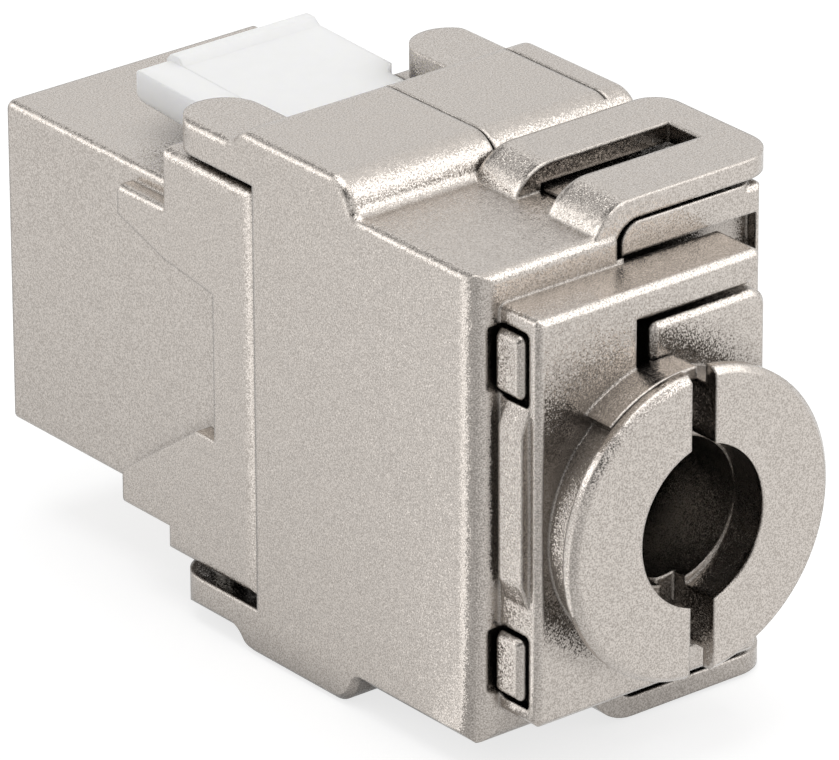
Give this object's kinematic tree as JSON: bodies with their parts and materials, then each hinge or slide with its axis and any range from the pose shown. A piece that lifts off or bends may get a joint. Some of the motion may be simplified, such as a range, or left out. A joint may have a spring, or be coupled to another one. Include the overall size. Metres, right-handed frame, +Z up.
{
  "type": "keystone jack",
  "caption": "Shielded snap-in network socket with two hinged metal wings that close over the wiring and clamp the cable.",
  "frame": {"origin": "middle of the whole part's box, on the plane of its lowest faces", "axes": "+Y towards the plug opening, +Z up to the side with the latch, +X to the side where the straps end"},
  "size_m": [0.0176, 0.041, 0.0257],
  "materials": {
    "satin_nickel": "satin nickel plating on die cast zinc",
    "white_plastic": "satin moulded",
    "black_plastic": "moulded",
    "board_laminate": "lacquered board",
    "plain_steel": "bright",
    "gold_contact": "gold plated",
    "tinned_brass": "tin plated"
  },
  "bodies": {
    "housing": {"front_housing": "satin_nickel", "contact_carrier": "black_plastic", "terminal_block_upper": "black_plastic", "terminal_block_lower": "black_plastic", "wire_manager": "black_plastic", "circuit_board": "board_laminate", "pair_divider": "plain_steel", "hinge_pin_upper_left": "plain_steel", "hinge_pin_lower_left": "plain_steel", "hinge_pin_upper_right": "plain_steel", "hinge_pin_lower_right": "plain_steel", "ground_spring_left": "plain_steel", "ground_spring_right": "plain_steel", "contact_spring_1": "gold_contact", "idc_terminal_1": "tinned_brass", "contact_spring_2": "gold_contact", "idc_terminal_2": "tinned_brass", "contact_spring_3": "gold_contact", "idc_terminal_3": "tinned_brass", "contact_spring_4": "gold_contact", "idc_terminal_4": "tinned_brass", "contact_spring_5": "gold_contact", "idc_terminal_5": "tinned_brass", "contact_spring_6": "gold_contact", "idc_terminal_6": "tinned_brass", "contact_spring_7": "gold_contact", "idc_terminal_7": "tinned_brass", "contact_spring_8": "gold_contact", "idc_terminal_8": "tinned_brass"},
    "left_wing": {"left_wing": "satin_nickel"},
    "right_wing": {"right_wing": "satin_nickel"},
    "latch": {"keystone_latch": "white_plastic"}
  },
  "joints": [
    {"name": "left_wing_hinge", "type": "hinge", "parent": "housing", "child": "left_wing", "pos_m": [-0.0069, 0.00507, 0.01285], "axis": [0, 0, 1], "range_deg": [-100, 0]},
    {"name": "right_wing_hinge", "type": "hinge", "parent": "housing", "child": "right_wing", "pos_m": [0.0061, 0.00507, 0.01285], "axis": [0, 0, 1], "range_deg": [0, 100]},
    {"name": "keystone_latch_hinge", "type": "hinge", "parent": "housing", "child": "latch", "pos_m": [-0.0004, 0.00357, 0.02185], "axis": [1, 0, 0], "range_deg": [-8.5, 0], "stiffness_Nm_per_rad": 0.3}
  ],
  "couplings": [
    {"joint": "right_wing_hinge", "follows": "left_wing_hinge", "ratio": -1}
  ]
}
